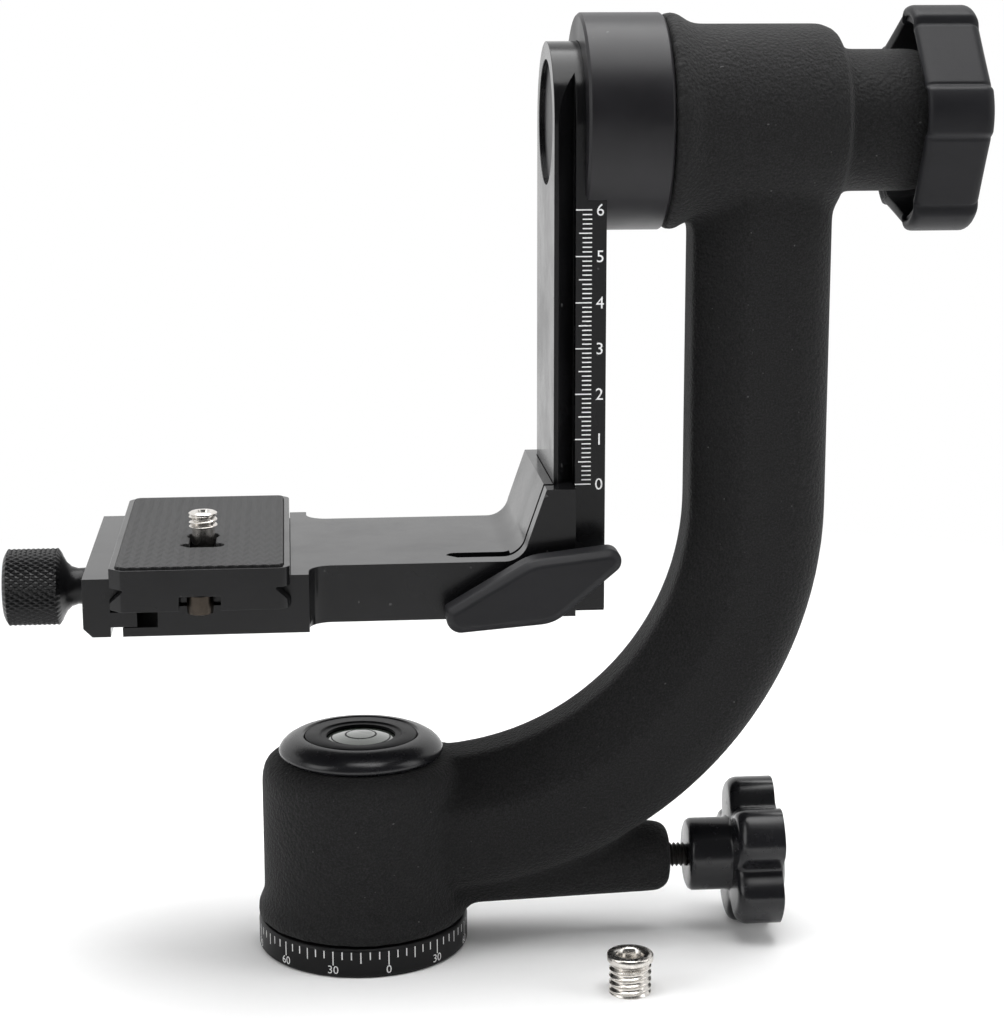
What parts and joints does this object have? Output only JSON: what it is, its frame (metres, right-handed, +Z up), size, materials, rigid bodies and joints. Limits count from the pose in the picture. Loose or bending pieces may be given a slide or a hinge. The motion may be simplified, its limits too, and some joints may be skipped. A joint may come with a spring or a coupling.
{
  "type": "gimbal tripod head",
  "caption": "Gimbal tripod head: scaled pan base, curved yoke, tilting rail with a height scale, and a bracket with a quick release clamp.",
  "frame": {"origin": "Middle of the base's underside, on the pan axis", "axes": "+Z up, -Y front, +X to the yoke's arm and knobs"},
  "size_m": [0.217, 0.0794, 0.2143],
  "materials": {
    "black_anodised": "satin black anodised aluminium",
    "foam_coat": "fine grained black soft coat",
    "black_gloss": "glossy black moulded plastic",
    "black_plastic": "satin black moulded plastic",
    "rubber_black": "black rubber with fine ribs",
    "steel_bright": "ground steel",
    "steel_dark": "blackened steel",
    "nickel": "bright nickel plate",
    "brass": "turned brass",
    "vial_glass": "clear vial with pale green liquid"
  },
  "bodies": {
    "base": {"pan_base": "black_anodised", "pan_washer": "steel_bright", "pan_spring_washer": "steel_bright", "pan_nut": "steel_bright", "reducer_bushing": "nickel"},
    "yoke": {"yoke": "foam_coat", "pan_bearing_lower": "steel_bright", "pan_bearing_upper": "steel_bright", "level_cap": "black_gloss", "level_insert": "black_gloss", "level_vial": "vial_glass", "pan_brake_shoe": "brass", "tilt_bearing_inner": "steel_bright", "tilt_bearing_outer": "steel_bright", "tilt_friction_washer": "black_plastic", "tilt_thrust_washer": "steel_bright"},
    "pan_lock": {"pan_knob": "black_gloss", "pan_knob_stud": "steel_dark"},
    "cradle": {"tilt_drum": "black_anodised", "tilt_axle": "steel_bright", "rail": "black_anodised", "axle_bolt": "steel_dark", "axle_cap": "black_anodised", "drum_screws": "steel_dark"},
    "tilt_lock": {"tilt_knob": "black_plastic", "tilt_knob_insert": "brass"},
    "bracket": {"bracket": "black_anodised", "release_plate": "black_anodised", "rubber_pad": "rubber_black", "stop_screws": "steel_dark"},
    "rail_lever": {"clamp_lever": "black_plastic", "lever_screw": "steel_dark"},
    "jaw": {"moving_jaw": "black_anodised"},
    "jaw_knob": {"clamp_knob": "black_anodised", "clamp_screw": "steel_dark"},
    "camera_screw": {"camera_screw": "nickel"}
  },
  "joints": [
    {"name": "pan_turn", "type": "hinge", "parent": "base", "child": "yoke", "pos_m": [0, 0, 0.02], "axis": [0, 0, 1], "continuous": true},
    {"name": "pan_lock_turn", "type": "hinge", "parent": "yoke", "child": "pan_lock", "pos_m": [0.085, 0, 0.018], "axis": [1, 0, 0], "continuous": true},
    {"name": "tilt_turn", "type": "hinge", "parent": "yoke", "child": "cradle", "pos_m": [0.088, 0, 0.189], "axis": [1, 0, 0], "continuous": true},
    {"name": "tilt_lock_turn", "type": "hinge", "parent": "cradle", "child": "tilt_lock", "pos_m": [0.13, 0, 0.189], "axis": [1, 0, 0], "continuous": true},
    {"name": "height_slide", "type": "slide", "parent": "cradle", "child": "bracket", "axis": [0, 0, 1], "range_m": [0, 0.06]},
    {"name": "rail_lever_turn", "type": "hinge", "parent": "bracket", "child": "rail_lever", "pos_m": [0.0383, -0.029, 0.0902], "axis": [0, 1, 0], "range_deg": [0, 90]},
    {"name": "jaw_slide", "type": "slide", "parent": "bracket", "child": "jaw", "axis": [-1, 0, 0], "range_m": [0, 0.003]},
    {"name": "jaw_knob_turn", "type": "hinge", "parent": "jaw", "child": "jaw_knob", "pos_m": [-0.07, 0, 0.0866], "axis": [1, 0, 0], "range_deg": [0, 1080]},
    {"name": "camera_screw_turn", "type": "hinge", "parent": "bracket", "child": "camera_screw", "pos_m": [-0.0344, -0.007, 0.1], "axis": [0, 0, 1], "continuous": true}
  ],
  "couplings": [
    {"joint": "jaw_knob_turn", "follows": "jaw_slide", "rad_per_m": 6283.2}
  ]
}
